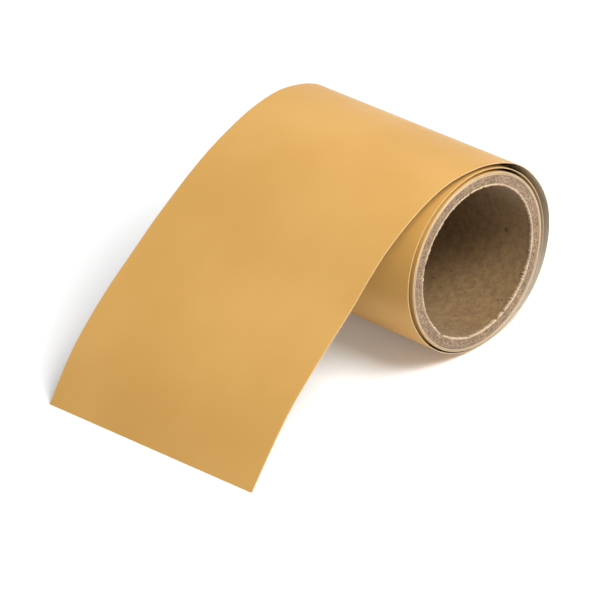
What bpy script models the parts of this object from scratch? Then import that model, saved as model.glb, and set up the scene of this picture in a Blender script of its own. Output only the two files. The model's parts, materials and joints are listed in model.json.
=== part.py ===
"""Roll of sign vinyl: a spirally wound paperboard core, gold vinyl film on a paper release liner wound
round it, one loose outer turn, and a free length that curves down to the surface the roll lies on.

Frame: X runs along the free length, with the roll at +X and the free end at -X; Y is the roll's axis,
with the near end at -Y; Z is up. The origin is at the middle of the whole object's footprint, on the
surface it lies on. Each sub-part is its own object, in metres.
"""

from math import radians, tau

import bpy
import numpy as np

# ---- Driving dimensions (metres and degrees) ------------------------------------------------------

ROLL_WIDTH = 0.130
BORE_RADIUS = 0.0381

# Core plies from the bore outwards: name and thickness.
CORE_PLIES = (
    ("core_inner_ply", 0.0005),
    ("core_body_ply_1", 0.00128),
    ("core_body_ply_2", 0.00128),
    ("core_body_ply_3", 0.00128),
    ("core_outer_ply", 0.0005),
)
PLY_GAP = 0.00002
PLY_LEAD = 0.137
PLY_SEAM_GAP = 0.0004
PLY_SEAM_STEP = 7
PLY_TIP = 0.0003
CORE_FACETS = 36

# Laminate layers: depth of the upper and lower face below the gold surface.
FILM = (0.0, 0.00010)
ADHESIVE = (0.00011, 0.00013)
LINER = (0.00014, 0.00029)
LAMINATE = LINER[1]

# Tight turns on the core.
WOUND_TURNS = 4
WOUND_OUTER_RADIUS = 0.0451
WOUND_START_GAP = 0.00003
WOUND_START_DEG = -30
WOUND_FACETS = 36

# Loose outer turn: (angle round the roll's axis, radius of the gold surface). Angles fall as the web runs
# inwards from the top, and it passes the lowest point of the roll at -90 degrees.
LOOSE_TURN = (
    (90, 0.0482),
    (66, 0.0481),
    (48, 0.0494),
    (30, 0.05),
    (8, 0.0507),
    (-12, 0.0502),
    (-28, 0.0495),
    (-45, 0.0484),
    (-60, 0.0469),
    (-75, 0.0458),
    (-90, 0.0455),
    (-112, 0.0455),
    (-135, 0.0458),
    (-155, 0.0464),
    (-175, 0.0473),
    (-192, 0.0478),
    (-215, 0.0478),
    (-240, 0.0472),
    (-270, 0.0466),
    (-300, 0.0463),
    (-330, 0.0463),
    (-360, 0.0463),
    (-390, 0.0458),
)
LOOSE_STEP_DEG = 7.5

# Free length: points of the gold surface from the top of the roll to the floor, from the roll's axis.
FREE_LENGTH = (
    (-0.0160, 0.0477),
    (-0.0320, 0.0440),
    (-0.0600, 0.0322),
    (-0.0880, 0.0146),
    (-0.1150, -0.0028),
    (-0.1395, -0.0222),
    (-0.1615, -0.0465),
)
TAIL_START_X = -0.042
TAIL_STEP = 0.007
SPLIT_GAP = 0.0003
FLOOR_CLEARANCE = 0.00002
PEEL_TAB_LENGTH = 0.025
LINER_SHORT_OF_FILM = 0.0005

# Tape that holds the web's inner end to the core.
TAPE_THICKNESS = 0.00005
TAPE_CLEARANCE = 0.00002
TAPE_FACETS_ON_CORE = 3
TAPE_FACETS_ON_WEB = 2
TAPE_WIDTH = 0.100

SHARP_EDGE_DEG = 35
CURVE_READINGS = 4001

CORE_RADIUS = BORE_RADIUS + sum(t for _, t in CORE_PLIES) + PLY_GAP * (len(CORE_PLIES) - 1)

# ---- Finishes -------------------------------------------------------------------------------------

FINISHES = {
    "gold_film": ((0.72, 0.42, 0.14), 0.32, 0.25),
    "adhesive": ((0.85, 0.80, 0.62), 0.45, 0.0),
    "release_liner": ((0.84, 0.74, 0.58), 0.60, 0.0),
    "core_kraft": ((0.30, 0.20, 0.10), 0.90, 0.0),
    "core_board": ((0.42, 0.31, 0.21), 0.95, 0.0),
    "starter_tape": ((0.80, 0.70, 0.45), 0.55, 0.0),
}


def make_finishes():
    """One Principled material for each finish: colour, roughness, metallic."""
    made = {}
    for name, (colour, roughness, metallic) in FINISHES.items():
        material = bpy.data.materials.new(name)
        material.use_nodes = True
        shader = material.node_tree.nodes["Principled BSDF"]
        shader.inputs["Base Color"].default_value = (*colour, 1.0)
        shader.inputs["Roughness"].default_value = roughness
        shader.inputs["Metallic"].default_value = metallic
        made[name] = material
    return made


# ---- Curves ---------------------------------------------------------------------------------------


def smooth_through(knots, values, at):
    """Natural cubic spline through (knots, values), read at the given places."""
    knots, values = np.asarray(knots, float), np.asarray(values, float)
    step = np.diff(knots)
    slope = np.diff(values) / step
    count = len(knots)
    matrix = np.eye(count)
    bend = np.zeros(count)
    for i in range(1, count - 1):
        matrix[i, i - 1 : i + 2] = step[i - 1], 2 * (step[i - 1] + step[i]), step[i]
        bend[i] = 6 * (slope[i] - slope[i - 1])
    bend = np.linalg.solve(matrix, bend)
    i = np.clip(np.searchsorted(knots, at) - 1, 0, count - 2)
    left, right = knots[i + 1] - at, at - knots[i]
    return (
        (bend[i] * left**3 + bend[i + 1] * right**3) / (6 * step[i])
        + (values[i] / step[i] - bend[i] * step[i] / 6) * left
        + (values[i + 1] / step[i] - bend[i + 1] * step[i] / 6) * right
    )


def circle_points(angles_deg, radii):
    """Points (x, z) at these angles and radii about the roll's axis."""
    angles = np.radians(angles_deg)
    return np.stack([radii * np.cos(angles), radii * np.sin(angles)], 1)


class WebPath:
    """The gold surface's side profile from the free end inwards, about the roll's axis.

    Distance along it is 0 at the top of the roll, negative on the free length and positive inwards.
    """

    def __init__(self):
        angles, radii = (np.array(column, float) for column in zip(*LOOSE_TURN))
        steps = round((angles[0] - angles[-1]) / LOOSE_STEP_DEG)
        fine = np.linspace(angles[0], angles[-1], steps + 1)
        loose = circle_points(fine, smooth_through(-angles, radii, -fine))
        self.guide = np.concatenate([np.array(FREE_LENGTH)[::-1], loose])
        chords = np.linalg.norm(np.diff(self.guide, axis=0), axis=1)
        self.along = np.concatenate([[0.0], np.cumsum(chords)])
        self.along -= self.along[len(FREE_LENGTH)]
        self.loose_stations = self.along[len(FREE_LENGTH) :]

    def points(self, distance):
        """Points (x, z) at these distances."""
        return np.stack([smooth_through(self.along, self.guide[:, k], distance) for k in (0, 1)], 1)

    def free_length_distance(self, axis, value):
        """Where the free length reaches this x (axis 0) or z (axis 1)."""
        dense = np.linspace(self.along[0], 0, CURVE_READINGS)
        return float(np.interp(value, self.points(dense)[:, axis], dense))


def gold_side(points):
    """Unit normals on the gold side of a profile that runs from the free end inwards."""
    tangent = np.gradient(points, axis=0)
    tangent /= np.linalg.norm(tangent, axis=1)[:, None]
    return np.stack([-tangent[:, 1], tangent[:, 0]], 1)


# ---- Solids ---------------------------------------------------------------------------------------


def strip_solid(name, outer, inner, y_low, y_high, finish, joint):
    """A closed strip between two side profiles, as wide as y_low to y_high at each station.

    The profiles are about the roll's axis. The object hangs on the empty of the joint that it moves on.
    """
    count = len(outer)
    origin = np.array([joint.location.x, joint.location.z]) - ROLL_AXIS_PLACE
    rims = []
    for profile in (outer, inner):
        for y in (y_low, y_high):
            rim = np.empty((count, 3))
            rim[:, 0], rim[:, 2] = (profile - origin).T
            rim[:, 1] = y
            rims.append(rim)
    outer_low, outer_high, inner_low, inner_high = (k * count for k in range(4))
    faces = []
    for i in range(count - 1):
        j = i + 1
        faces.append((outer_low + i, outer_low + j, outer_high + j, outer_high + i))
        faces.append((inner_low + i, inner_high + i, inner_high + j, inner_low + j))
        faces.append((outer_low + i, inner_low + i, inner_low + j, outer_low + j))
        faces.append((outer_high + i, outer_high + j, inner_high + j, inner_high + i))
    last = count - 1
    faces.append((outer_low, outer_high, inner_high, inner_low))
    faces.append((outer_low + last, inner_low + last, inner_high + last, outer_high + last))

    mesh = bpy.data.meshes.new(name)
    mesh.from_pydata(np.concatenate(rims).tolist(), [], faces)
    mesh.shade_smooth()
    mesh.set_sharp_from_angle(angle=radians(SHARP_EDGE_DEG))
    mesh.materials.append(finish)
    strip = bpy.data.objects.new(name, mesh)
    bpy.context.scene.collection.objects.link(strip)
    strip.parent = joint


def layer_solid(name, points, normals, layer, finish, joint):
    """One layer of the laminate along a stretch of the web."""
    upper, lower = layer
    strip_solid(
        name,
        points - normals * upper,
        points - normals * lower,
        -ROLL_WIDTH / 2,
        ROLL_WIDTH / 2,
        finish,
        joint,
    )


def ply_solid(name, inner_radius, outer_radius, seam_facet, finish, joint):
    """One core ply: a strip wound as a helix, with its edges butted along a helical seam.

    Each column is a line along the tube. The strip's two edges are the seam, one lead apart, and the
    tube's ends cut them off square, so the strip narrows to a tip at both ends.
    """
    half = ROLL_WIDTH / 2
    cut = PLY_SEAM_GAP / 2
    facet = PLY_LEAD / CORE_FACETS
    turn = CORE_FACETS
    first_tip = (cut + PLY_TIP) / facet
    last_tip = turn + (ROLL_WIDTH - cut - PLY_TIP) / facet
    kinks = [turn - cut / facet, (ROLL_WIDTH + cut) / facet]
    whole = np.arange(1, int(last_tip) + 1)
    columns = np.unique(np.concatenate([[first_tip, last_tip], kinks, whole]))
    y_low = np.maximum(-half, -half + (columns - turn) * facet + cut)
    y_high = np.minimum(half, -half + columns * facet - cut)

    corners = np.arange(2 * turn + 2)
    angles = np.degrees(tau / turn) * (corners + seam_facet)
    profiles = []
    for radius in (outer_radius, inner_radius):
        ring = circle_points(angles, np.full(len(corners), radius))
        profiles.append(np.stack([np.interp(columns, corners, ring[:, k]) for k in (0, 1)], 1))
    # The strip runs round the other way from the web, so its stations are taken in reverse.
    outer, inner = (profile[::-1] for profile in profiles)
    strip_solid(name, outer, inner, y_low[::-1], y_high[::-1], finish, joint)


def joint_empty(name, x, z):
    """An empty on a joint's axis, which runs along Y. x and z are from the roll's axis."""
    empty = bpy.data.objects.new(name, None)
    empty.location = (ROLL_AXIS_PLACE[0] + x, 0.0, ROLL_AXIS_PLACE[1] + z)
    bpy.context.scene.collection.objects.link(empty)
    return empty


# ---- Sub-assemblies -------------------------------------------------------------------------------


def build_core(finishes, joint):
    """The paperboard tube, ply by ply from the bore outwards, with the seams staggered round it."""
    radius = BORE_RADIUS
    for number, (name, thickness) in enumerate(CORE_PLIES):
        kraft = number in (0, len(CORE_PLIES) - 1)
        finish = finishes["core_kraft" if kraft else "core_board"]
        ply_solid(name, radius, radius + thickness, number * PLY_SEAM_STEP, finish, joint)
        radius += thickness + PLY_GAP


def build_winding(finishes, joint):
    """The tight turns on the core, and the tape that holds their inner end to it."""
    inner_gold = CORE_RADIUS + WOUND_START_GAP + LAMINATE
    pitch = (WOUND_OUTER_RADIUS - inner_gold) / WOUND_TURNS
    facet_deg = 360 / WOUND_FACETS
    facets = np.arange(WOUND_TURNS * WOUND_FACETS, -1, -1)
    gold_radii = inner_gold + facets / WOUND_FACETS * pitch
    points = circle_points(WOUND_START_DEG + facets * facet_deg, gold_radii)
    normals = points / np.linalg.norm(points, axis=1)[:, None]
    layer_solid("wound_film", points, normals, FILM, finishes["gold_film"], joint)
    layer_solid("wound_adhesive", points, normals, ADHESIVE, finishes["adhesive"], joint)
    layer_solid("wound_liner", points, normals, LINER, finishes["release_liner"], joint)

    tape_facets = np.arange(TAPE_FACETS_ON_WEB, -TAPE_FACETS_ON_CORE - 1, -1)
    on_web = inner_gold + tape_facets / WOUND_FACETS * pitch
    under = np.where(tape_facets >= 0, on_web, CORE_RADIUS) + TAPE_CLEARANCE
    angles = WOUND_START_DEG + tape_facets * facet_deg
    strip_solid(
        "starter_tape",
        circle_points(angles, under + TAPE_THICKNESS),
        circle_points(angles, under),
        -TAPE_WIDTH / 2,
        TAPE_WIDTH / 2,
        finishes["starter_tape"],
        joint,
    )


def build_stretch(prefix, points, normals, finishes, joint, parts=("film", "adhesive", "liner")):
    """The named layers of one stretch of the web."""
    layers = {
        "film": (FILM, "gold_film"),
        "adhesive": (ADHESIVE, "adhesive"),
        "liner": (LINER, "release_liner"),
    }
    for part in parts:
        layer, finish = layers[part]
        layer_solid(f"{prefix}_{part}", points, normals, layer, finishes[finish], joint)


for old in list(bpy.data.objects):
    bpy.data.objects.remove(old, do_unlink=True)

PATH = WebPath()
FLOOR = PATH.guide[:, 1][len(FREE_LENGTH) :].min()
FREE_END = PATH.free_length_distance(1, FLOOR + FLOOR_CLEARANCE + FILM[1])
TAIL_START = PATH.free_length_distance(0, TAIL_START_X)
LINER_END = FREE_END + LINER_SHORT_OF_FILM
PEEL_LINE = LINER_END + PEEL_TAB_LENGTH

# Stations shared by the layers, so that their facets stay parallel.
tail_count = round((TAIL_START - PEEL_LINE) / TAIL_STEP)
tab_count = round(PEEL_TAB_LENGTH / TAIL_STEP)
TAIL_STATIONS = np.concatenate(
    [
        [FREE_END],
        np.linspace(LINER_END, PEEL_LINE, tab_count + 1),
        np.linspace(PEEL_LINE + SPLIT_GAP, TAIL_START - SPLIT_GAP / 2, tail_count + 1),
    ]
)
bridge_count = round(-TAIL_START / TAIL_STEP)
WRAP_STATIONS = np.concatenate(
    [
        np.linspace(TAIL_START + SPLIT_GAP / 2, 0, bridge_count + 1)[:-1],
        PATH.loose_stations,
    ]
)
TAIL_POINTS, WRAP_POINTS = PATH.points(TAIL_STATIONS), PATH.points(WRAP_STATIONS)
TAIL_NORMALS, WRAP_NORMALS = gold_side(TAIL_POINTS), gold_side(WRAP_POINTS)

# The footprint's middle is the origin, so the roll's axis stands this far from it.
ROLL_AXIS_PLACE = np.array([-(TAIL_POINTS[:, 0].min() + WRAP_POINTS[:, 0].max()) / 2, -FLOOR])

finishes = make_finishes()
roll_axis = joint_empty("roll_axis", 0.0, 0.0)
tail_line = joint_empty("tail_line", *PATH.points(np.array([TAIL_START]))[0])
peel_station = tab_count + 1
peel_place = TAIL_POINTS[peel_station] - TAIL_NORMALS[peel_station] * LINER[1]
peel_line = joint_empty("peel_line", *peel_place)

build_core(finishes, roll_axis)
build_winding(finishes, roll_axis)
build_stretch("wrap", WRAP_POINTS, WRAP_NORMALS, finishes, roll_axis)
build_stretch("tail", TAIL_POINTS, TAIL_NORMALS, finishes, tail_line, ("film", "adhesive"))
on_tail = slice(peel_station + 1, None)
build_stretch("tail", TAIL_POINTS[on_tail], TAIL_NORMALS[on_tail], finishes, tail_line, ("liner",))
on_tab = slice(1, peel_station + 1)
layer_solid(
    "liner_peel_tab",
    TAIL_POINTS[on_tab],
    TAIL_NORMALS[on_tab],
    LINER,
    finishes["release_liner"],
    peel_line,
)

print("roll axis at", ROLL_AXIS_PLACE)
print("tail line at", tuple(tail_line.location), "peel line at", tuple(peel_line.location))
print("film length from free end to wrap's inner end", WRAP_STATIONS[-1] - FREE_END)
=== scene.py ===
"""Looks of a short roll of gold sign vinyl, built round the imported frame.

The web is one laminate of gold film, adhesive and paper liner. It comes off a paperboard core,
makes a loose outer turn and runs down to the surface as a free length. Everything is in metres,
in the frame's own axes: X along the free length, Y along the roll with its near end at -Y, Z up.
"""

import json
import logging
import math
from dataclasses import dataclass, field
from enum import Enum
from typing import ClassVar

import bpy
import numpy as np
from mathutils import Matrix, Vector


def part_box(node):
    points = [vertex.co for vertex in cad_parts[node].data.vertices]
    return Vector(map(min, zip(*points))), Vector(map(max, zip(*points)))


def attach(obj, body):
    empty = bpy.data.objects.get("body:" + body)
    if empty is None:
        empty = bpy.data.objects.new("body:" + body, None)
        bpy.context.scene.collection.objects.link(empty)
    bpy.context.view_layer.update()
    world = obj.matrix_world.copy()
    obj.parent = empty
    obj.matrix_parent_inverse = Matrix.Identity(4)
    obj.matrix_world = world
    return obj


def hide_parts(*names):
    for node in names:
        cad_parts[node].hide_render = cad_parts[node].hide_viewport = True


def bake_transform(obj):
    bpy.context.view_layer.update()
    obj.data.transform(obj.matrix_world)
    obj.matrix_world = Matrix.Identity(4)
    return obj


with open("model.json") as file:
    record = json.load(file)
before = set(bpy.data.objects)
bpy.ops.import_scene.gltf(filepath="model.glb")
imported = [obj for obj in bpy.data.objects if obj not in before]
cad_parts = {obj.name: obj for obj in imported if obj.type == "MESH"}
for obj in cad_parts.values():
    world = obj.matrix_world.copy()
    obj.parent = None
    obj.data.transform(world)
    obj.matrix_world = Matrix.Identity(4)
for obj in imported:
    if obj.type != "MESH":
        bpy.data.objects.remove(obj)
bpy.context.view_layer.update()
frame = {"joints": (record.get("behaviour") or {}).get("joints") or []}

LOG = logging.getLogger("sign_vinyl")
MM = 0.001
CORE_LINING = 0.5 * MM  # thickness of the ply that lines the bore
WOUND_EASE = 0.05 * MM  # how far the fine winding stands out past its plain one
Colour = tuple[float, float, float]
Point = tuple[float, float, float]


class Layer(Enum):
    """The laminate's layers, each with its depth range below the gold surface, in metres."""

    FILM = (0.0, 0.10 * MM)
    ADHESIVE = (0.11 * MM, 0.13 * MM)
    LINER = (0.14 * MM, 0.29 * MM)


class Body(Enum):
    """The frame's moving bodies."""

    WEB = "web"
    ROLL = "roll"
    TAIL = "tail"
    LINER_TIP = "liner_tip"


class Board(Enum):
    """What a ply of the core is made of, with the record's material slot for it."""

    BORE_KRAFT = "bore kraft"
    BODY = "body board"
    OUTER_KRAFT = "outer kraft"

    @property
    def slot(self) -> str:
        """The material slot of this kind of ply."""
        return "core_board" if self is Board.BODY else "core_kraft"


# ---- Curves and noise --------------------------------


class Spline:
    """A natural cubic spline through knots, read as whole arrays."""

    def __init__(self, knots: np.ndarray, values: np.ndarray) -> None:
        """Solve the bends from the knots and the value at each.

        Args:
            knots: places, in increasing order.
            values: the curve's value at each knot.
        """
        self.knots = np.asarray(knots, float)
        self.values = np.asarray(values, float)
        self.step = np.diff(self.knots)
        slope = np.diff(self.values) / self.step
        count = len(self.knots)
        inner = np.arange(1, count - 1)
        matrix = np.eye(count)
        matrix[inner, inner - 1] = self.step[:-1]
        matrix[inner, inner] = 2 * (self.step[:-1] + self.step[1:])
        matrix[inner, inner + 1] = self.step[1:]
        right_side = np.zeros(count)
        right_side[1:-1] = 6 * np.diff(slope)
        self.bend = np.linalg.solve(matrix, right_side)

    def at(self, place: np.ndarray) -> np.ndarray:
        """Value at each place: the cubic between its two knots, from their values and bends.

        Args:
            place: places to read the curve at.

        Returns:
            The curve's values.
        """
        place = np.asarray(place, float)
        i = np.clip(np.searchsorted(self.knots, place) - 1, 0, len(self.knots) - 2)
        step, left, right = self.step[i], self.knots[i + 1] - place, place - self.knots[i]
        cubic = (self.bend[i] * left**3 + self.bend[i + 1] * right**3) / (6 * step)
        from_left = (self.values[i] / step - self.bend[i] * step / 6) * left
        from_right = (self.values[i + 1] / step - self.bend[i + 1] * step / 6) * right
        return cubic + from_left + from_right


@dataclass(frozen=True)
class RingNoise:
    """Noise round a ring that closes on itself: a sum of waves with whole numbers of crests."""

    SPREAD: ClassVar[float] = 1.6

    seed: int
    lowest: int
    highest: int
    waves: int = 24

    def at(self, angle: np.ndarray, across: np.ndarray | float = 0.0) -> np.ndarray:
        """Noise from about -1 to 1 at these angles.

        Args:
            angle: angles in radians.
            across: a second place, in waves, that slides each wave's phase.

        Returns:
            The sum of cos(crests * angle + phase + drift * across), scaled to unit spread.
        """
        draw = np.random.default_rng(self.seed)
        crests = draw.integers(self.lowest, self.highest + 1, self.waves)
        phase = draw.uniform(0, math.tau, self.waves)
        drift = draw.uniform(-math.tau, math.tau, self.waves)
        angle = np.asarray(angle, float)[..., None]
        across = np.asarray(across, float)[..., None]
        total = np.cos(crests * angle + phase + drift * across).sum(-1)
        return total * math.sqrt(2 / self.waves) / self.SPREAD


@dataclass(frozen=True)
class RollAxis:
    """The roll's axis, which runs along Y, and half the roll's width."""

    x: float
    z: float
    half: float

    def place(self, angle: np.ndarray, radius: np.ndarray, y: np.ndarray) -> np.ndarray:
        """Points at an angle and radius: the axis plus radius times the cosine and the sine.

        Args:
            angle: radians about the axis, from +X towards +Z.
            radius: metres from the axis.
            y: metres along it.

        Returns:
            Points, with a last axis of x, y and z.
        """
        x = self.x + radius * np.cos(angle)
        z = self.z + radius * np.sin(angle)
        return np.stack(np.broadcast_arrays(x, y, z), -1)


# ---- Meshes ------------------------------------------


class MeshTools:
    """Turns grids of points into closed meshes."""

    SHARP_DEG = 32.0

    @staticmethod
    def piece(mesh: bpy.types.Mesh, finish: bpy.types.Material) -> bpy.types.Object:
        """A piece in the scene, named as its mesh is.

        Args:
            mesh: the finished mesh.
            finish: its material.

        Returns:
            The new object.
        """
        mesh.materials.append(finish)
        made = bpy.data.objects.new(mesh.name, mesh)
        bpy.context.scene.collection.objects.link(made)
        return made

    @staticmethod
    def tube_faces(stations: int, around: int, ring: bool) -> np.ndarray:
        """Quads of a tube whose cross-sections are closed loops.

        Args:
            stations: loops along the tube.
            around: points in each loop.
            ring: whether the last loop joins the first.

        Returns:
            Faces of four vertex numbers, where vertex (i, j) is i * around + j.
        """
        i = np.arange(stations if ring else stations - 1)[:, None]
        j = np.arange(around)[None, :]
        i2, j2 = (i + 1) % stations, (j + 1) % around
        corners = [i * around + j, i2 * around + j, i2 * around + j2, i * around + j2]
        return np.stack(corners, -1).reshape(-1, 4)

    @staticmethod
    def volume(points: np.ndarray, quads: np.ndarray) -> float:
        """Signed volume under these quads: a sixth of each half's corner times its normal.

        Args:
            points: the mesh's points.
            quads: faces of four vertex numbers.

        Returns:
            Cubic metres, positive when the faces point outwards.
        """
        a, b, c, d = (points[quads[:, k]] for k in range(4))
        halves = np.cross(b - a, c - a), np.cross(c - a, d - a)
        return float(sum((a * half).sum() for half in halves) / 6)

    @classmethod
    def loft(
        cls,
        name: str,
        loops: np.ndarray,
        uv: np.ndarray,
        finish: bpy.types.Material,
        ring: bool = False,
    ) -> bpy.types.Object:
        """A closed solid through a row of closed cross-section loops.

        Args:
            name: the piece's name.
            loops: points, shaped (stations, around, 3).
            uv: a place on the surface for each point, in metres, shaped (stations, around, 2).
            finish: its material.
            ring: whether the loops close into a ring; otherwise both ends are capped.

        Returns:
            The new object, facing outwards.
        """
        stations, around, _ = loops.shape
        points = loops.reshape(-1, 3)
        quads = cls.tube_faces(stations, around, ring)
        outward = cls.volume(points, quads) > 0
        faces = (quads if outward else quads[:, ::-1]).tolist()
        if not ring:
            first = list(range(around))
            last = [(stations - 1) * around + k for k in first]
            faces += [first, last[::-1]] if outward else [first[::-1], last]
        mesh = bpy.data.meshes.new(name)
        mesh.from_pydata(points.tolist(), [], faces)
        corner_vertex = np.empty(len(mesh.loops), np.int32)
        mesh.loops.foreach_get("vertex_index", corner_vertex)
        layer = mesh.uv_layers.new(name="UVMap")
        layer.data.foreach_set("uv", uv.reshape(-1, 2)[corner_vertex].ravel().astype(np.float32))
        mesh.shade_smooth()
        mesh.set_sharp_from_angle(angle=math.radians(cls.SHARP_DEG))
        LOG.info("%s: %d faces", name, len(faces))
        return cls.piece(mesh, finish)

    @staticmethod
    def strip_loops(top: np.ndarray, under: np.ndarray) -> np.ndarray:
        """Cross-section loops of a strip: over its top to high Y, then back underneath."""
        return np.concatenate([top, under[:, ::-1]], axis=1)


# ---- Finishes ----------------------------------------


class Shading:
    """A Principled material's node tree, with short calls to add nodes."""

    def __init__(self, name: str, roughness: float, metallic: float = 0.0) -> None:
        """Start a material; a pattern may be linked to its roughness later.

        Args:
            name: the material's name.
            roughness: its roughness, from 0 to 1.
            metallic: its metallic share.
        """
        self.material = bpy.data.materials.new(name)
        self.material.use_nodes = True
        self.nodes = self.material.node_tree.nodes
        self.links = self.material.node_tree.links
        self.shader = self.nodes["Principled BSDF"]
        self.shader.inputs["Roughness"].default_value = roughness
        self.shader.inputs["Metallic"].default_value = metallic
        places = self.nodes.new("ShaderNodeTexCoord")
        self.places = {"object": places.outputs["Object"], "uv": places.outputs["UV"]}

    def feed(self, socket: bpy.types.NodeSocket, value: object) -> None:
        """Link a socket to another node's output, or set its own value.

        Args:
            socket: the input to fill.
            value: an output, or a plain value.
        """
        if isinstance(value, bpy.types.NodeSocket):
            self.links.new(value, socket)
        else:
            socket.default_value = value

    def stretched(self, places: str, scale: Point) -> bpy.types.NodeSocket:
        """Object or UV coordinates scaled by a different amount along each axis.

        Args:
            places: object or uv.
            scale: the factor along each axis.

        Returns:
            The scaled coordinates.
        """
        node = self.nodes.new("ShaderNodeMapping")
        self.links.new(self.places[places], node.inputs["Vector"])
        node.inputs["Scale"].default_value = scale
        return node.outputs["Vector"]

    def noise(
        self, vector: bpy.types.NodeSocket, scale: float, detail: float = 3.0, rough: float = 0.5
    ) -> bpy.types.NodeSocket:
        """Soft noise.

        Args:
            vector: coordinates, in metres or already scaled.
            scale: features a unit of the vector.
            detail: octaves of finer noise.
            rough: strength of the finer octaves.

        Returns:
            Noise from 0 to 1.
        """
        node = self.nodes.new("ShaderNodeTexNoise")
        self.links.new(vector, node.inputs["Vector"])
        node.inputs["Scale"].default_value = scale
        node.inputs["Detail"].default_value = detail
        node.inputs["Roughness"].default_value = rough
        return node.outputs["Fac"]

    def cells(self, vector: bpy.types.NodeSocket, scale: float) -> bpy.types.NodeSocket:
        """Distance to the nearest of many scattered points.

        Args:
            vector: coordinates.
            scale: points a unit of the vector.

        Returns:
            The distance, in cells.
        """
        node = self.nodes.new("ShaderNodeTexVoronoi")
        self.links.new(vector, node.inputs["Vector"])
        node.inputs["Scale"].default_value = scale
        return node.outputs["Distance"]

    def ramp(
        self,
        value: bpy.types.NodeSocket,
        low: float,
        high: float,
        start: float = 0.0,
        end: float = 1.0,
    ) -> bpy.types.NodeSocket:
        """Map low..high smoothly on to start..end, held level outside it.

        Args:
            value: the output to map.
            low: value that gives start.
            high: value that gives end.
            start: lower result.
            end: upper result.

        Returns:
            The mapped value.
        """
        node = self.nodes.new("ShaderNodeMapRange")
        node.interpolation_type = "SMOOTHSTEP"
        for key, item in (
            ("Value", value),
            ("From Min", low),
            ("From Max", high),
            ("To Min", start),
            ("To Max", end),
        ):
            self.feed(node.inputs[key], item)
        return node.outputs["Result"]

    def maths(self, operation: str, first: object, second: object = 0.0) -> bpy.types.NodeSocket:
        """One arithmetic step on two values.

        Args:
            operation: the Math node's operation.
            first: an output or a number.
            second: an output or a number.

        Returns:
            The result.
        """
        node = self.nodes.new("ShaderNodeMath")
        node.operation = operation
        self.feed(node.inputs[0], first)
        self.feed(node.inputs[1], second)
        return node.outputs[0]

    def split(self, vector: bpy.types.NodeSocket) -> bpy.types.NodeOutputs:
        """The vector's parts.

        Args:
            vector: the vector.

        Returns:
            Outputs named X, Y and Z.
        """
        node = self.nodes.new("ShaderNodeSeparateXYZ")
        self.links.new(vector, node.inputs["Vector"])
        return node.outputs

    def mix(self, share: object, first: object, second: object) -> bpy.types.NodeSocket:
        """Blend two colours.

        Args:
            share: 0 for the first colour, 1 for the second.
            first: a colour or an output.
            second: a colour or an output.

        Returns:
            The blended colour.
        """
        node = self.nodes.new("ShaderNodeMix")
        node.data_type = "RGBA"
        self.feed(node.inputs["Factor"], share)
        for socket, value in ((node.inputs[6], first), (node.inputs[7], second)):
            self.feed(socket, (*value, 1.0) if isinstance(value, tuple) else value)
        return node.outputs[2]

    def relief(self, height: bpy.types.NodeSocket, depth: float) -> None:
        """Bump the surface by height times depth.

        Args:
            height: an output from 0 to 1.
            depth: metres at full height.
        """
        node = self.nodes.new("ShaderNodeBump")
        node.inputs["Strength"].default_value = 1.0
        node.inputs["Distance"].default_value = depth
        self.links.new(height, node.inputs["Height"])
        self.links.new(node.outputs["Normal"], self.shader.inputs["Normal"])

    def colour(self, value: object) -> None:
        """Set or link the base colour."""
        self.feed(self.shader.inputs["Base Color"], value)

    def roughness(self, value: bpy.types.NodeSocket) -> None:
        """Link the roughness."""
        self.links.new(value, self.shader.inputs["Roughness"])


@dataclass(frozen=True)
class GoldFilm:
    """Satin gold face film, with calender streaks along the web and cut edges made paler partly by
    painted glare.
    """

    half_width: float
    gold: Colour = (0.68, 0.385, 0.108)
    deep_gold: Colour = (0.63, 0.345, 0.088)
    edge: Colour = (0.86, 0.60, 0.27)
    edge_width: float = 0.25 * MM
    metallic: float = 0.15
    smoothest: float = 0.38
    roughest: float = 0.46
    specular: float = 0.35
    relief: float = 0.004 * MM

    def material(self) -> bpy.types.Material:
        """Gold mottle, streaks along the web, a fine orange-peel relief, and a lighter cut edge
        that is partly painted glare.

        Returns:
            The film's material.
        """
        made = Shading("gold_film", self.smoothest, self.metallic)
        places = made.places["uv"]
        cloud = made.ramp(made.noise(places, 14.0, 3.0), 0.3, 0.7)
        streak = made.noise(made.stretched("uv", (3.0, 260.0, 1.0)), 1.0, 4.0, 0.6)
        body = made.mix(cloud, self.gold, self.deep_gold)
        body = made.mix(made.ramp(streak, 0.4, 0.75, 0.0, 0.18), body, self.deep_gold)
        # Painted highlight: the last quarter millimetre at each edge takes a paler gold, partly the
        # cut's own tone and partly glare along it.
        across = made.maths("ABSOLUTE", made.split(places)["Y"])
        rim = made.ramp(across, self.half_width - self.edge_width, self.half_width)
        made.colour(made.mix(rim, body, self.edge))
        grain = made.noise(places, 900.0, 2.0)
        haze = made.noise(places, 60.0, 4.0)
        made.roughness(made.ramp(haze, 0.2, 0.8, self.smoothest, self.roughest))
        made.shader.inputs["Specular IOR Level"].default_value = self.specular
        made.relief(made.maths("ADD", grain, made.maths("MULTIPLY", streak, 0.6)), self.relief)
        return made.material


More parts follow.
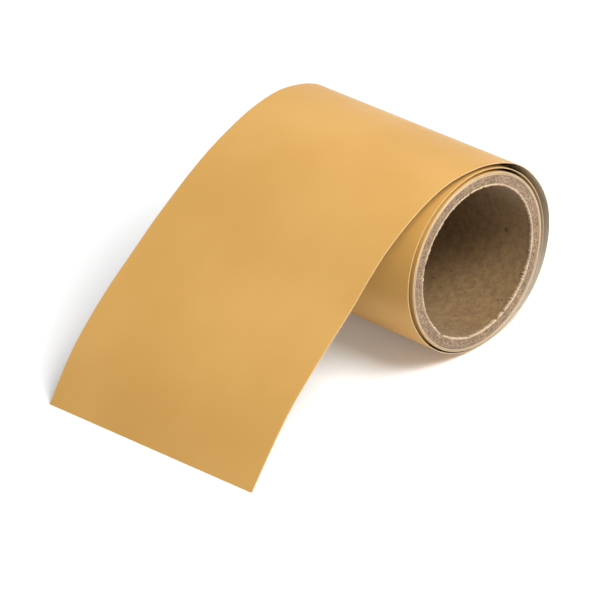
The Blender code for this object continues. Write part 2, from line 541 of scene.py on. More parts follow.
@dataclass(frozen=True)
class ReleaseLiner:
    """Coated liner paper: pale grey, faintly mottled, with a tan cut edge."""

    half_width: float
    paper: Colour = (0.56, 0.53, 0.45)
    shade: Colour = (0.48, 0.45, 0.37)
    edge: Colour = (0.55, 0.40, 0.25)
    edge_width: float = 0.15 * MM
    relief: float = 0.006 * MM

    def material(self) -> bpy.types.Material:
        """Paper clouding and a fine fibre relief.

        Returns:
            The liner's material.
        """
        made = Shading("release_liner", 0.48)
        places = made.places["uv"]
        cloud = made.ramp(made.noise(places, 90.0, 5.0, 0.6), 0.3, 0.7)
        body = made.mix(cloud, self.paper, self.shade)
        across = made.maths("ABSOLUTE", made.split(places)["Y"])
        rim = made.ramp(across, self.half_width - self.edge_width, self.half_width)
        made.colour(made.mix(rim, body, self.edge))
        fibre = made.noise(made.stretched("uv", (500.0, 1400.0, 1.0)), 1.0, 4.0, 0.6)
        made.relief(fibre, self.relief)
        return made.material


@dataclass(frozen=True)
class AdhesiveCoat:
    """Clear tacky coat under the film, which shows the gold through it."""

    tint: Colour = (0.78, 0.60, 0.36)
    deep_tint: Colour = (0.70, 0.52, 0.30)
    relief: float = 0.004 * MM

    def material(self) -> bpy.types.Material:
        """Glossy coat with a rippled relief.

        Returns:
            The coat's material.
        """
        made = Shading("adhesive", 0.22)
        ripple = made.noise(made.stretched("uv", (300.0, 900.0, 1.0)), 1.0, 3.0)
        made.colour(made.mix(made.ramp(ripple, 0.3, 0.7, 0.0, 0.5), self.tint, self.deep_tint))
        made.relief(ripple, self.relief)
        return made.material


@dataclass(frozen=True)
class Kraft:
    """Mottled recycled kraft paper with dark specks and short fibres."""

    name: str
    light: Colour = (0.30, 0.180, 0.070)
    dark: Colour = (0.17, 0.100, 0.037)
    speck: Colour = (0.045, 0.026, 0.012)
    # Scale of the scattered specks, their size in that scale, and the scale of where they gather.
    specks: tuple[tuple[float, float, float], ...] = ((95.0, 0.14, 41.0), (230.0, 0.15, 63.0))
    relief: float = 0.05 * MM
    sheen: float = 0.15

    def material(self) -> bpy.types.Material:
        """Cloudy brown, dark specks of two sizes, and a fibrous relief.

        Returns:
            The kraft's material.
        """
        made = Shading(self.name, 0.88)
        places = made.places["object"]
        cloud = made.ramp(made.noise(places, 330.0, 6.0, 0.72), 0.30, 0.70)
        body = made.mix(cloud, self.light, self.dark)
        fine = made.ramp(made.noise(places, 900.0, 4.0, 0.7), 0.35, 0.75, 0.0, 0.45)
        body = made.mix(fine, body, self.dark)
        for scale, size, gate in self.specks:
            spot = made.ramp(made.cells(places, scale), size * 0.55, size, 1.0, 0.0)
            some = made.ramp(made.noise(places, gate, 2.0), 0.5, 0.6)
            body = made.mix(made.maths("MULTIPLY", spot, some), body, self.speck)
        made.colour(body)
        fibre = made.noise(made.stretched("object", (1.0, 0.45, 1.0)), 1600.0, 5.0, 0.7)
        made.relief(made.maths("ADD", fibre, made.maths("MULTIPLY", cloud, 0.8)), self.relief)
        made.shader.inputs["Sheen Weight"].default_value = self.sheen
        return made.material


@dataclass(frozen=True)
class CutBoard:
    """Grey-brown board whose cut end shows torn fibres."""

    name: str
    light: Colour = (0.48, 0.32, 0.19)
    dark: Colour = (0.12, 0.072, 0.036)
    relief: float = 0.16 * MM
    sheen: float = 0.2

    def material(self) -> bpy.types.Material:
        """Speckled fibre colour with a coarse torn relief.

        Returns:
            The board's material.
        """
        made = Shading(self.name, 0.95)
        places = made.places["object"]
        speckle = made.noise(places, 1500.0, 5.0, 0.75)
        patch = made.noise(places, 240.0, 3.0, 0.6)
        body = made.mix(made.ramp(speckle, 0.38, 0.66), self.dark, self.light)
        body = made.mix(made.ramp(patch, 0.42, 0.7, 0.0, 0.5), body, self.dark)
        made.colour(body)
        made.relief(made.maths("ADD", speckle, patch), self.relief)
        made.shader.inputs["Sheen Weight"].default_value = self.sheen
        return made.material


@dataclass(frozen=True)
class PlainPaper:
    """Torn fibre or tape paper: one pale tone with a fine mottle."""

    name: str
    light: Colour
    dark: Colour
    relief: float = 0.05 * MM

    def material(self) -> bpy.types.Material:
        """Two close tones and a crinkled relief.

        Returns:
            The paper's material.
        """
        made = Shading(self.name, 0.85)
        mottle = made.noise(made.places["object"], 1300.0, 4.0, 0.7)
        made.colour(made.mix(made.ramp(mottle, 0.35, 0.65), self.dark, self.light))
        made.relief(mottle, self.relief)
        return made.material


@dataclass
class Finishes:
    """Every material of the object, made once."""

    half_width: float
    gold: bpy.types.Material = field(init=False)
    liner: bpy.types.Material = field(init=False)
    adhesive: bpy.types.Material = field(init=False)
    bore_kraft: bpy.types.Material = field(init=False)
    outer_kraft: bpy.types.Material = field(init=False)
    board: bpy.types.Material = field(init=False)
    torn_edge: bpy.types.Material = field(init=False)
    fibre: bpy.types.Material = field(init=False)
    tape: bpy.types.Material = field(init=False)

    def __post_init__(self) -> None:
        """Make the materials."""
        self.gold = GoldFilm(self.half_width).material()
        self.liner = ReleaseLiner(self.half_width).material()
        self.adhesive = AdhesiveCoat().material()
        self.bore_kraft = Kraft("bore_kraft").material()
        pale, shade = (0.36, 0.24, 0.135), (0.24, 0.155, 0.085)
        self.outer_kraft = Kraft("outer_kraft", pale, shade).material()
        self.board = CutBoard("core_board").material()
        self.torn_edge = PlainPaper("torn_edge", (0.66, 0.50, 0.34), (0.42, 0.30, 0.19)).material()
        self.fibre = PlainPaper("board_fibre", (0.62, 0.47, 0.33), (0.40, 0.29, 0.19)).material()
        self.tape = PlainPaper("starter_tape", (0.78, 0.66, 0.40), (0.70, 0.57, 0.32)).material()


# ---- The web -----------------------------------------


@dataclass
class WebCurve:
    """The gold surface's side profile, by distance from the top of the roll.

    Distance is negative along the free length and positive inwards round the roll. loose_turn holds
    (degrees, radius in mm) about the roll's axis, and free_length (x, z) in mm from that axis.
    """

    axis: RollAxis
    loose_turn: tuple[tuple[float, float], ...] = (
        (90, 48.2), (66, 48.1), (48, 49.4), (30, 50.0), (8, 50.7), (-12, 50.2), (-28, 49.5),
        (-45, 48.4), (-60, 46.9), (-75, 45.8), (-90, 45.5), (-112, 45.5), (-135, 45.8),
        (-155, 46.4), (-175, 47.3), (-192, 47.8), (-215, 47.8), (-240, 47.2), (-270, 46.6),
        (-300, 46.3), (-330, 46.3), (-360, 46.3), (-390, 45.8),
    )
    free_length: tuple[tuple[float, float], ...] = (
        (-16.0, 47.7), (-32.0, 44.0), (-60.0, 32.2), (-88.0, 14.6), (-115.0, -2.8),
        (-139.5, -22.2), (-161.5, -46.5),
    )
    # (distance, how far the far edge stands out from the middle and the near edge in), in mm.
    askew: tuple[tuple[float, float], ...] = (
        (-215.0, 1.1), (-190.0, 1.1), (-168.0, 1.7), (-150.0, 1.3), (-130.0, 0.9),
        (-106.0, 0.35), (-91.0, -0.1), (-78.0, -1.2), (-62.0, -2.2), (-43.0, -2.75),
        (-25.0, -2.9), (-10.0, -2.3), (0.0, -1.6), (20.0, -0.8), (35.0, -0.3), (60.0, 0.0),
        (150.0, 0.0), (187.0, -0.25), (225.0, -0.4), (300.0, -0.3), (350.0, -0.1), (420.0, 0.0),
        (900.0, 0.0),
    )
    step_deg: float = 7.5
    along: np.ndarray = field(init=False)

    def __post_init__(self) -> None:
        """Join the turn and the free length, and fit x and z splines by distance."""
        angles, radii = (np.array(column, float) for column in zip(*self.loose_turn))
        steps = round((angles[0] - angles[-1]) / self.step_deg)
        fine = np.linspace(angles[0], angles[-1], steps + 1)
        radius = Spline(-angles, radii * MM).at(-fine)
        turn = radius[:, None] * np.stack([np.cos(np.radians(fine)), np.sin(np.radians(fine))], 1)
        guide = np.concatenate([np.array(self.free_length)[::-1] * MM, turn])
        chords = np.linalg.norm(np.diff(guide, axis=0), axis=1)
        self.along = np.concatenate([[0.0], np.cumsum(chords)])
        self.along -= self.along[len(self.free_length)]
        self.x = Spline(self.along, guide[:, 0])
        self.z = Spline(self.along, guide[:, 1])
        places, offsets = (np.array(column, float) * MM for column in zip(*self.askew))
        self.stand = Spline(places, offsets)

    @property
    def inner_end(self) -> float:
        """Distance of the loose turn's inner end."""
        return float(self.along[-1])

    def reach(self, x: float) -> float:
        """Distance where the free length passes this x, in the frame's axes."""
        dense = np.linspace(self.along[0], 0.0, 4001)
        return float(np.interp(x - self.axis.x, self.x.at(dense), dense))

    def normals(self, distance: np.ndarray) -> np.ndarray:
        """Unit normals on the gold side: the profile's slope turned a quarter turn.

        Args:
            distance: distances, of any shape.

        Returns:
            Normals, with a last axis of x and z.
        """
        small = 0.05 * MM
        dx = self.x.at(distance + small) - self.x.at(distance - small)
        dz = self.z.at(distance + small) - self.z.at(distance - small)
        length = np.hypot(dx, dz)
        return np.stack([-dz / length, dx / length], -1)

    def surface(self, distance: np.ndarray, y: np.ndarray, depth: float) -> np.ndarray:
        """Points of the web at a depth below its gold surface.

        The profile's point, moved along its normal by the askew stand-off times y over half the
        width, less depth.

        Args:
            distance: distances, of any shape.
            y: places across the web, of the same shape.
            depth: metres below the gold surface.

        Returns:
            Points, with a last axis of x, y and z.
        """
        normal = self.normals(distance)
        offset = self.stand.at(distance) * (y / self.axis.half) - depth
        x = self.axis.x + self.x.at(distance) + normal[..., 0] * offset
        z = self.axis.z + self.z.at(distance) + normal[..., 1] * offset
        return np.stack([x, y, z], -1)


@dataclass
class Web:
    """The loose turn and the free length: each layer is one sheet across its joint."""

    axis: RollAxis
    curve: WebCurve
    finishes: Finishes
    free_end: float
    peel_x: float
    station_step: float = 1.4 * MM
    columns: int = 45
    edge_gather: float = 0.92
    liner_proud: float = 0.10 * MM
    liner_short: float = 0.5 * MM
    liner_butt: float = -118.0 * MM
    butt_gap: float = 0.1 * MM
    slant_reach: float = 70.0 * MM
    bend_heading: tuple[float, float] = (-0.7071, 0.7071)
    bend_start: float = 48.8 * MM
    bend_end: float = 75.0 * MM
    peel_reach: float = 9.0 * MM

    @property
    def cut_slant(self) -> float:
        """Slant that keeps both ends of the cut at floor height, where the sheet is askew."""
        end = np.array([self.free_end])
        normal = self.curve.normals(end)[0]
        return float(self.curve.stand.at(end)[0] * normal[1] / normal[0])

    def sheet(
        self, name: str, layer: Layer, start: float, end: float, proud: float = 0.0
    ) -> bpy.types.Object:
        """One layer of the web from start to end, as a thin closed sheet.

        Args:
            name: the piece's name.
            layer: which layer of the laminate.
            start: distance of its outer end.
            end: distance of its inner end.
            proud: how far its long edges stand past the film's.

        Returns:
            The sheet, with its distance and its place across as UVs.
        """
        rows = max(4, round((end - start) / self.station_step))
        edge = self.axis.half + proud
        # Columns gather towards the two edges, so that the edges stay crisp.
        share = np.linspace(-1.0, 1.0, self.columns)
        gather = math.pi / 2 * self.edge_gather
        across = edge * np.sin(share * gather) / math.sin(gather)
        distance, y = np.meshgrid(np.linspace(start, end, rows + 1), across, indexing="ij")
        nearness = np.clip((self.free_end + self.slant_reach - distance) / self.slant_reach, 0, 1)
        distance = distance + self.cut_slant * (y / self.axis.half) * nearness**2
        top = self.curve.surface(distance, y, layer.value[0])
        under = self.curve.surface(distance, y, layer.value[1])
        places = np.stack([distance, y], -1)
        material = {
            Layer.FILM: self.finishes.gold,
            Layer.ADHESIVE: self.finishes.adhesive,
            Layer.LINER: self.finishes.liner,
        }[layer]
        loops = MeshTools.strip_loops(top, under)
        return MeshTools.loft(name, loops, MeshTools.strip_loops(places, places), material)

    def bend_at_tail(self, piece: bpy.types.Object) -> None:
        """Bake a sheet's transform into its mesh; the sheet is not bent.

        Args:
            piece: a sheet that crosses the joint.
        """
        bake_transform(piece)

    def build(self) -> None:
        """Make the film, the adhesive and the liner's two lengths."""
        inner = self.curve.inner_end
        film = self.sheet("gold_film_sheet", Layer.FILM, self.free_end, inner)
        self.bend_at_tail(film)
        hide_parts("wrap_film", "tail_film")

        tip_start = self.free_end + self.liner_short
        adhesive = self.sheet("adhesive_coat", Layer.ADHESIVE, tip_start, inner)
        self.bend_at_tail(adhesive)
        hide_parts("wrap_adhesive", "tail_adhesive")

        liner = self.sheet("liner_sheet", Layer.LINER, self.liner_butt, inner, self.liner_proud)
        self.bend_at_tail(liner)
        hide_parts("wrap_liner", "tail_liner")

        tip_end = self.liner_butt - self.butt_gap
        tip = self.sheet("liner_tip_sheet", Layer.LINER, tip_start, tip_end, self.liner_proud)
        # The peel joint's middle and normal are found here, but the tip is not turned down with
        # them.
        peel = np.array([self.curve.reach(self.peel_x)])
        middle = self.curve.surface(peel, np.zeros(1), Layer.LINER.value[1])[0]
        normal = self.curve.normals(peel)[0]
        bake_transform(tip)
        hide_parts("liner_peel_tab")


# ---- The roll ----------------------------------------


@dataclass
class Winding:
    """The tight turns on the core: a spiral of film, adhesive and liner, and the starter tape."""

    axis: RollAxis
    core_radius: float
    outer_radius: float
    finishes: Finishes
    turns: int = 5
    tape_room: float = 0.09 * MM
    start_deg: float = -30.0
    steps_per_turn: int = 144
    start_gap: float = 0.03 * MM
    liner_proud: float = 0.16 * MM
    wander: float = 0.14 * MM
    wander_drift: float = 0.35
    film_seed: int = 3
    liner_seed: int = 8
    tape_half: float = 50.0 * MM
    tape_thickness: float = 0.05 * MM
    tape_clearance: float = 0.02 * MM
    tape_reach_deg: tuple[float, float] = (-30.0, 20.0)
    tape_climb_deg: float = 7.0
    tape_rows: int = 41
    tape_columns: int = 9

    @property
    def first_gold(self) -> float:
        """Radius of the gold surface where the web starts on the core."""
        return self.core_radius + self.start_gap + Layer.LINER.value[1]

    def gold(self, turn: np.ndarray) -> np.ndarray:
        """Radius of the gold surface: an even pitch, plus the tape's room over the first turn."""
        pitch = (self.outer_radius - self.first_gold - self.tape_room) / self.turns
        return self.first_gold + turn * pitch + self.tape_room * np.clip(turn, 0.0, 1.0)

    def spiral(
        self, name: str, layer: Layer, proud: float, seed: int, material: bpy.types.Material
    ) -> bpy.types.Object:
        """One layer of the spiral: radius grows by the pitch each turn, and its edges wander in Y.

        Args:
            name: the piece's name.
            layer: which layer of the laminate.
            proud: how far its edges stand past the film's nominal edge.
            seed: seed of the edges' wander.
            material: its finish.

        Returns:
            The wound layer.
        """
        turn = np.linspace(0.0, self.turns, self.turns * self.steps_per_turn + 1)
        angle = math.radians(self.start_deg) + turn * math.tau
        drift = RingNoise(seed, 1, 5).at(angle, turn * self.wander_drift) * self.wander
        edges = np.array([-1.0, -0.985, -0.5, 0.0, 0.5, 0.985, 1.0])
        y = edges * (self.axis.half + proud) + (drift[:, None] * np.abs(edges) ** 3)
        gold = self.gold(turn)
        top = self.axis.place(angle[:, None], (gold - layer.value[0])[:, None], y)
        under = self.axis.place(angle[:, None], (gold - layer.value[1])[:, None], y)
        along = np.broadcast_to((gold * angle)[:, None], y.shape)
        places = np.stack([along, np.broadcast_to(edges * self.axis.half, y.shape)], -1)
        loops = MeshTools.strip_loops(top, under)
        return MeshTools.loft(name, loops, MeshTools.strip_loops(places, places), material)

    def tape(self) -> bpy.types.Object:
        """The tape strip that climbs from the core on to the web's inner end.

        Its radius rises from the core's to the web's by a smooth step: 3 t^2 - 2 t^3.

        Returns:
            The tape.
        """
        low, high = (math.radians(value) for value in self.tape_reach_deg)
        offset = np.linspace(high, low, self.tape_rows)
        on_web = self.gold(offset / math.tau)
        climb = np.clip(offset / math.radians(self.tape_climb_deg) + 1.0, 0.0, 1.0)
        smooth = climb * climb * (3 - 2 * climb)
        rise = (on_web - self.core_radius) * smooth
        under_radius = self.core_radius + rise + self.tape_clearance
        y = np.linspace(-self.tape_half, self.tape_half, self.tape_columns)
        angle, y = np.meshgrid(math.radians(self.start_deg) + offset, y, indexing="ij")
        under = self.axis.place(angle, under_radius[:, None], y)
        top = self.axis.place(angle, (under_radius + self.tape_thickness)[:, None], y)
        places = np.stack([angle * self.core_radius, y], -1)
        loops = MeshTools.strip_loops(top, under)
        uv = MeshTools.strip_loops(places, places)
        return MeshTools.loft("starter_tape_strip", loops, uv, self.finishes.tape)

    def build(self) -> None:
        """Make the three wound layers and the tape, which turn with the roll."""
        gold, coat, paper = self.finishes.gold, self.finishes.adhesive, self.finishes.liner
        plan = (
            ("wound_film", Layer.FILM, 0.0, self.film_seed, gold, "gold_film"),
            ("wound_adhesive", Layer.ADHESIVE, 0.0, self.film_seed, coat, "adhesive"),
            ("wound_liner", Layer.LINER, self.liner_proud, self.liner_seed, paper, "release_liner"),
        )
        for node, layer, proud, seed, material, slot in plan:
            piece = self.spiral(f"{node}_turns", layer, proud, seed, material)
            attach(piece, Body.ROLL.value)
            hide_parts(node)
        tape = self.tape()
        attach(tape, Body.ROLL.value)
        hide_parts("starter_tape")


@dataclass
class Core:
    """The paperboard tube: five helical plies with ragged cut ends, loose fibres and a burr.

    plies holds (node, thickness in mm, kind) from the bore outwards. The burr's cross-section and
    how far its points move are (radius from the bore's wall, distance past the end face) in mm.
    """

    axis: RollAxis
    bore_radius: float
    finishes: Finishes
    lead: float = 137.0 * MM
    seam_gap: float = 0.3 * MM
    seam_step_deg: float = 70.0
    ply_gap: float = 0.02 * MM
    plies: tuple[tuple[str, float, Board], ...] = (
        ("core_inner_ply", 0.5, Board.BORE_KRAFT),
        ("core_body_ply_1", 1.28, Board.BODY),
        ("core_body_ply_2", 1.28, Board.BODY),
        ("core_body_ply_3", 1.28, Board.BODY),
        ("core_outer_ply", 0.5, Board.OUTER_KRAFT),
    )
    burr_steady: tuple[tuple[float, float], ...] = (
        (0.55, -0.10), (0.50, 0.10), (0.28, 0.16), (0.05, 0.10), (-0.10, -0.10), (-0.10, -0.70),
        (0.08, -1.10), (0.30, -0.60),
    )
    burr_moving: tuple[tuple[float, float], ...] = (
        (0.10, 0.0), (0.0, 0.12), (-0.05, 0.30), (-0.22, 0.25), (-0.40, 0.0), (-0.25, -0.60),
        (0.0, -0.80), (0.0, 0.0),
    )
    burr_stations: int = 900
    step_deg: float = 1.25
    across: int = 14
    through: int = 5
    ragged: float = 0.16 * MM
    tear_share: float = 0.7
    waver_share: float = 0.3
    tear_depth: float = 0.5 * MM
    waver_depth: float = 3 * MM
    end_power: int = 220
    tip: float = 0.3 * MM
    burr_mean: float = 0.55
    burr_coarse: float = 0.4
    burr_fine: float = 0.55
    burr_bite: float = 1.3
    bite_from: float = 0.75
    fibres: int = 1500
    fibre_shortest: float = 0.15 * MM
    fibre_scale: float = 0.26 * MM
    fibre_longest: float = 1.5 * MM
    fibre_thinnest: float = 0.018 * MM
    fibre_thickest: float = 0.038 * MM
    fibre_taper: float = 0.75
    fibre_root: float = 0.12 * MM
    fibre_inset: float = 0.1 * MM
    fibre_stand: tuple[float, float] = (0.1, 0.7)
    fibre_lean: float = 0.6
    fibre_bend: float = 0.5
    share_at_bore: float = 0.3
    bore_band: float = 0.5 * MM
    fibre_sides: int = 3
    fibre_joints: int = 5

    @property
    def outer_radius(self) -> float:
        """Radius over the outer ply."""
        wall = sum(thickness for _, thickness, _ in self.plies) * MM
        return self.bore_radius + wall + self.ply_gap * (len(self.plies) - 1)

    def ply(
        self, name: str, inner: float, outer: float, seam_deg: float, material: bpy.types.Material
    ) -> bpy.types.Object:
        """One ply: a strip wound as a helix whose edges butt along a seam, cut at the tube's ends.

        At unwound angle a the strip spans from the seam one turn back to the seam at a, each at
        lead * a / turn along Y, both held inside the tube's ends, where the cut is ragged.

        Args:
            name: the piece's name.
            inner: its inner radius.
            outer: its outer radius.
            seam_deg: where its seam meets the near end.
            material: its finish.

        Returns:
            The ply.
        """
        half, cut = self.axis.half, self.seam_gap / 2
        per_radian = self.lead / math.tau
        first = (cut + self.tip) / per_radian
        last = math.tau + (2 * half - cut - self.tip) / per_radian
        unwound = np.linspace(first, last, round(math.degrees(last - first) / self.step_deg))
        low = np.maximum(-half, -half + (unwound - math.tau) * per_radian + cut)
        high = np.minimum(half, -half + unwound * per_radian - cut)
        angle = unwound + math.radians(seam_deg)

        shares = (1 - np.cos(np.linspace(0, math.pi, self.across))) / 2
        depth = np.linspace(0.0, 1.0, self.through + 2)[1:-1]
        through = self.through
        side_share = [shares, np.ones(through), shares[::-1], np.zeros(through)]
        side_depth = [np.zeros(self.across), depth, np.ones(self.across), depth[::-1]]
        radius = outer + (inner - outer) * np.concatenate(side_depth)[None, :]
        y = low[:, None] + (high - low)[:, None] * np.concatenate(side_share)[None, :]
        # Fine tearing and a slower waver, which only the last fraction of a millimetre feels.
        seed, column = int(seam_deg), angle[:, None]
        tear = RingNoise(seed + 11, 60, 420, 40).at(column, radius / self.tear_depth)
        waver = RingNoise(seed + 12, 4, 30).at(column, radius / self.waver_depth)
        at_end = np.clip(np.abs(y) / half, 0, 1) ** self.end_power
        torn = tear * self.tear_share + waver * self.waver_share
        y = y + np.sign(y) * at_end * torn * self.ragged
        wide = np.broadcast_to(column, y.shape)
        loops = self.axis.place(wide, np.broadcast_to(radius, y.shape), y)
        places = np.stack([wide * outer, y], -1)
        return MeshTools.loft(name, loops, places, material)

    def burr(self, name: str, side: int) -> bpy.types.Object:
        """The torn rim at one mouth of the bore: a thin ring whose crest and lip are ragged.

        Its cross-section is a closed loop of eight points from the end face over a crest and into
        the bore. Each is its steady place plus its movement times ring noise.

        Args:
            name: the piece's name.
            side: -1 at the near end, 1 at the far end.

        Returns:
            The ring.
        """
        angle = np.linspace(0, math.tau, self.burr_stations, endpoint=False)
        coarse = RingNoise(40 + side, 3, 22).at(angle)
        fine = RingNoise(50 + side, 40, 260, 60).at(angle)
        rag = self.burr_mean + self.burr_coarse * coarse + self.burr_fine * fine
        rag = np.clip(rag, 0.05, 1.6)
        bite = np.clip(RingNoise(60 + side, 6, 60, 40).at(angle) - self.bite_from, 0, 1)
        steady, moving = np.array(self.burr_steady), np.array(self.burr_moving)
        move = (rag - self.burr_bite * bite)[:, None, None]
        shape = (steady[None] + moving[None] * move) * MM
        radius = self.bore_radius + shape[..., 0]
        y = side * (self.axis.half + shape[..., 1])
        wide = np.broadcast_to(angle[:, None], radius.shape)
        loops = self.axis.place(wide, radius, y)
        places = np.stack([wide * self.bore_radius, y], -1)
        return MeshTools.loft(name, loops, places, self.finishes.torn_edge, ring=True)

    def loose_fibres(self, name: str, side: int) -> bpy.types.Object:
        """Short bent fibres that stand out of one cut end, all in one mesh.

        Each fibre is a thin tapering tube along a parabola: root + out * t + bend * t * t.

        Args:
            name: the piece's name.
            side: -1 at the near end, 1 at the far end.

        Returns:
            The fibres.
        """
        draw = np.random.default_rng(70 + side)
        count = self.fibres
        angle = draw.uniform(0, math.tau, count)
        inset = self.fibre_inset
        radius = draw.uniform(self.bore_radius + inset, self.outer_radius - inset, count)
        at_bore = draw.random(count) < self.share_at_bore
        radius[at_bore] = self.bore_radius + draw.uniform(0.0, self.bore_band, at_bore.sum())
        length = draw.gamma(2.0, self.fibre_scale, count) + self.fibre_shortest
        length = np.minimum(length, self.fibre_longest)
        tangent = np.stack([-np.sin(angle), np.zeros(count), np.cos(angle)], 1)
        radial = np.stack([np.cos(angle), np.zeros(count), np.sin(angle)], 1)
        outwards = np.array([0.0, float(side), 0.0])
        sideways, inwards = draw.normal(0, 1.0, count), draw.normal(-0.2, 0.8, count)
        lean = sideways[:, None] * tangent + inwards[:, None] * radial
        stand = draw.uniform(*self.fibre_stand, count)[:, None]
        heading = outwards * stand + lean * self.fibre_lean
        heading /= np.linalg.norm(heading, axis=1)[:, None]
        bend = draw.normal(0, self.fibre_bend, (count, 3)) * length[:, None]
        root_y = np.full(count, side * (self.axis.half - self.fibre_root))
        root = self.axis.place(angle, radius, root_y)
        t = np.linspace(0, 1, self.fibre_joints)
        spine = (
            root[:, None]
            + heading[:, None] * (length[:, None] * t)[..., None]
            + bend[:, None] * (t**2)[None, :, None]
        )
        thick = draw.uniform(self.fibre_thinnest, self.fibre_thickest, count)[:, None]
        thick = thick * (1 - self.fibre_taper * t)
        turn = np.linspace(0, math.tau, self.fibre_sides, endpoint=False)
        side_a = np.cross(heading, tangent + 0.3 * radial)
        side_a /= np.linalg.norm(side_a, axis=1)[:, None]
        side_b = np.cross(heading, side_a)
        cosine, sine = np.cos(turn)[None, :, None], np.sin(turn)[None, :, None]
        ring = cosine * side_a[:, None] + sine * side_b[:, None]
        points = spine[:, :, None] + thick[:, :, None, None] * ring[:, None]
        per = self.fibre_joints * self.fibre_sides
        quads = MeshTools.tube_faces(self.fibre_joints, self.fibre_sides, ring=False)[:, ::-1]
        caps = np.array([range(self.fibre_sides), range(per - 1, per - 1 - self.fibre_sides, -1)])
        shift = np.arange(count)[:, None, None] * per
        faces = (quads[None] + shift).reshape(-1, 4).tolist()
        faces += (caps[None] + shift).reshape(-1, self.fibre_sides).tolist()
        mesh = bpy.data.meshes.new(name)
        mesh.from_pydata(points.reshape(-1, 3).tolist(), [], faces)
        mesh.shade_smooth()
        LOG.info("%s: %d fibres", name, count)
        return MeshTools.piece(mesh, self.finishes.fibre)

    def build(self) -> None:
        """Make the plies, the burrs and the fibres, which turn with the roll."""
        materials = {
            Board.BORE_KRAFT: self.finishes.bore_kraft,
            Board.BODY: self.finishes.board,
            Board.OUTER_KRAFT: self.finishes.outer_kraft,
        }
        radius = self.bore_radius
        for number, (node, thickness, kind) in enumerate(self.plies):
            outer = radius + thickness * MM
            seam = number * self.seam_step_deg
            piece = self.ply(f"{node}_wall", radius, outer, seam, materials[kind])
            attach(piece, Body.ROLL.value)
            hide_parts(node)
            radius = outer + self.ply_gap
        for end, side in (("near", -1), ("far", 1)):
            burr = self.burr(f"bore_burr_{end}", side)
            fibres = self.loose_fibres(f"board_fibres_{end}", side)
            for piece in (burr, fibres):
                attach(piece, Body.ROLL.value)


# ---- Studio ------------------------------------------


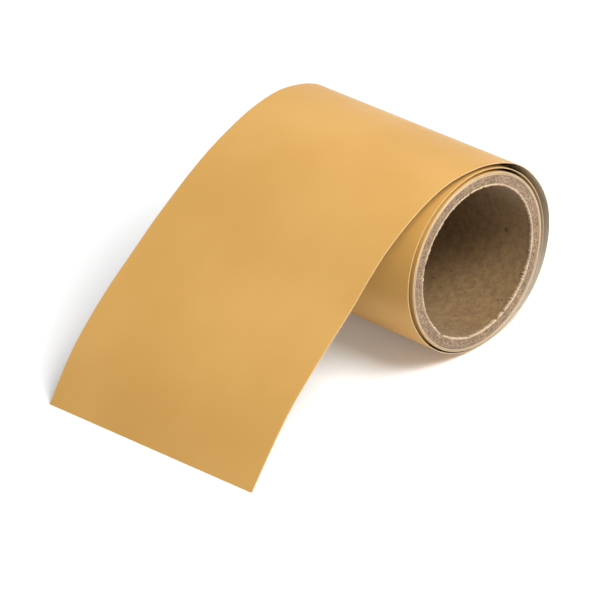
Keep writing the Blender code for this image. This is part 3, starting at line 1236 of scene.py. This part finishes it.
@dataclass(frozen=True)
class Studio:
    """Camera, floor and soft light.

    Each lamp is (name, place, side of its square, watts). canopy_edge holds the sines of the
    elevations between which the surround brightens to the canopy.
    """

    aim: Point
    azimuth_deg: float = 43.54
    elevation_deg: float = 31.69
    roll_deg: float = -5.39
    distance: float = 3.24
    lens_mm: float = 413.6
    aim_right: float = 83.5 * MM
    aim_up: float = 17.9 * MM
    sensor_mm: float = 36.0
    clip: tuple[float, float] = (0.05, 50.0)
    floor_half: float = 6.0
    floor_drop: float = 0.05 * MM
    floor_albedo: float = 0.86
    floor_glow: float = 0.12
    surround: float = 0.14
    canopy: float = 0.60
    canopy_edge: tuple[float, float] = (0.36, 0.50)
    lamps: tuple[tuple[str, Point, float, float], ...] = (
        ("key_softbox", (0.14, -1.00, 1.30), 0.8, 31.0),
        ("backdrop_panel", (1.25, 1.35, 0.45), 1.5, 3.0),
    )

    @staticmethod
    def stand(data: bpy.types.ID, axes: tuple[np.ndarray, ...], place: Point) -> bpy.types.Object:
        """A camera or lamp in the scene, named as its data.

        Args:
            data: the camera's or lamp's data.
            axes: directions of its own X, Y and Z.
            place: where it stands.

        Returns:
            The new object.
        """
        made = bpy.data.objects.new(data.name, data)
        columns = (*axes, place)
        rows = [[column[k] for column in columns] for k in range(3)]
        made.matrix_world = Matrix(rows + [[0, 0, 0, 1]])
        bpy.context.scene.collection.objects.link(made)
        return made

    def camera(self) -> None:
        """A long lens aimed so that the bore's near mouth is right of and above centre."""
        azimuth, elevation, roll = (
            math.radians(a) for a in (self.azimuth_deg, self.elevation_deg, self.roll_deg)
        )
        forward = np.array(
            [
                math.sin(azimuth) * math.cos(elevation),
                math.cos(azimuth) * math.cos(elevation),
                -math.sin(elevation),
            ]
        )
        level_right = np.array([math.cos(azimuth), -math.sin(azimuth), 0.0])
        level_up = np.cross(level_right, forward)
        right = level_right * math.cos(roll) + level_up * math.sin(roll)
        up = -level_right * math.sin(roll) + level_up * math.cos(roll)
        centre = np.array(self.aim) - right * self.aim_right - up * self.aim_up
        place = centre - forward * self.distance
        data = bpy.data.cameras.new("studio_camera")
        data.lens = self.lens_mm
        data.sensor_width = self.sensor_mm
        data.clip_start, data.clip_end = self.clip
        bpy.context.scene.camera = self.stand(data, (right, up, -forward), tuple(place))

    def floor(self) -> None:
        """A plain pale floor under the roll, lit from below as a light table is."""
        far, low = self.floor_half, -self.floor_drop
        mesh = bpy.data.meshes.new("floor")
        corners = [(-far, -far, low), (far, -far, low), (far, far, low), (-far, far, low)]
        mesh.from_pydata(corners, [], [(0, 1, 2, 3)])
        made = Shading("floor_paper", 0.9)
        made.colour((self.floor_albedo, self.floor_albedo, self.floor_albedo, 1.0))
        made.shader.inputs["Emission Color"].default_value = (1.0, 1.0, 1.0, 1.0)
        made.shader.inputs["Emission Strength"].default_value = self.floor_glow
        MeshTools.piece(mesh, made.material)

    def lamp(self, name: str, place: Point, size: float, watts: float) -> None:
        """A square soft light, aimed at the object.

        Args:
            name: its name.
            place: where it stands.
            size: side of its square.
            watts: its power.
        """
        data = bpy.data.lights.new(name, "AREA")
        data.shape = "SQUARE"
        data.size = size
        data.energy = watts
        back = np.array(place, float)
        back /= np.linalg.norm(back)
        side = np.cross([0.0, 0.0, 1.0], back)
        side /= np.linalg.norm(side)
        self.stand(data, (side, np.cross(back, side), back), place)

    def light(self) -> None:
        """A dim surround that brightens to a canopy overhead, and the two soft lamps."""
        world = bpy.data.worlds.new("studio_world")
        bpy.context.scene.world = world
        world.use_nodes = True
        surround = world.node_tree.nodes["Background"]
        surround.inputs["Color"].default_value = (1.0, 1.0, 1.0, 1.0)
        nodes, links = world.node_tree.nodes, world.node_tree.links
        direction = nodes.new("ShaderNodeTexCoord")
        height = nodes.new("ShaderNodeSeparateXYZ")
        links.new(direction.outputs["Generated"], height.inputs["Vector"])
        sky = nodes.new("ShaderNodeMapRange")
        sky.interpolation_type = "SMOOTHSTEP"
        links.new(height.outputs["Z"], sky.inputs["Value"])
        low, high = self.canopy_edge
        sky.inputs["From Min"].default_value, sky.inputs["From Max"].default_value = low, high
        sky.inputs["To Min"].default_value = self.surround
        sky.inputs["To Max"].default_value = self.canopy
        links.new(sky.outputs["Result"], surround.inputs["Strength"])
        for name, place, size, watts in self.lamps:
            self.lamp(name, place, size, watts)
        bpy.context.scene.view_settings.view_transform = "Standard"


# ---- Assembly ----------------------------------------


def joint_place(name: str) -> tuple[float, float]:
    """A joint's axis, which runs along Y, as (x, z)."""
    found = next(joint for joint in frame["joints"] if joint["name"] == name)
    return found["pos_m"][0], found["pos_m"][2]


def main() -> None:
    """Build the studio, the web, the winding and the core round the frame."""
    logging.basicConfig(level=logging.INFO, format="%(name)s: %(message)s")
    tail_low, tail_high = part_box("tail_film")
    axis = RollAxis(*joint_place("roll_turn"), half=float(tail_high.y))
    ply_low, ply_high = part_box("core_inner_ply")
    wound_outermost = float(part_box("wound_film")[1].x)
    bore = float((ply_high.x - ply_low.x) / 2) - CORE_LINING

    studio = Studio(aim=(axis.x, -axis.half, axis.z))
    studio.camera()
    studio.floor()
    studio.light()

    finishes = Finishes(axis.half)
    core = Core(axis, bore, finishes)
    core.build()
    winding = Winding(axis, core.outer_radius, wound_outermost - axis.x + WOUND_EASE, finishes)
    winding.build()
    curve = WebCurve(axis)
    free_end = curve.reach(float(tail_low.x))
    web = Web(axis, curve, finishes, free_end, peel_x=joint_place("liner_peel")[0])
    web.build()


if __name__ == "__main__":
    main()
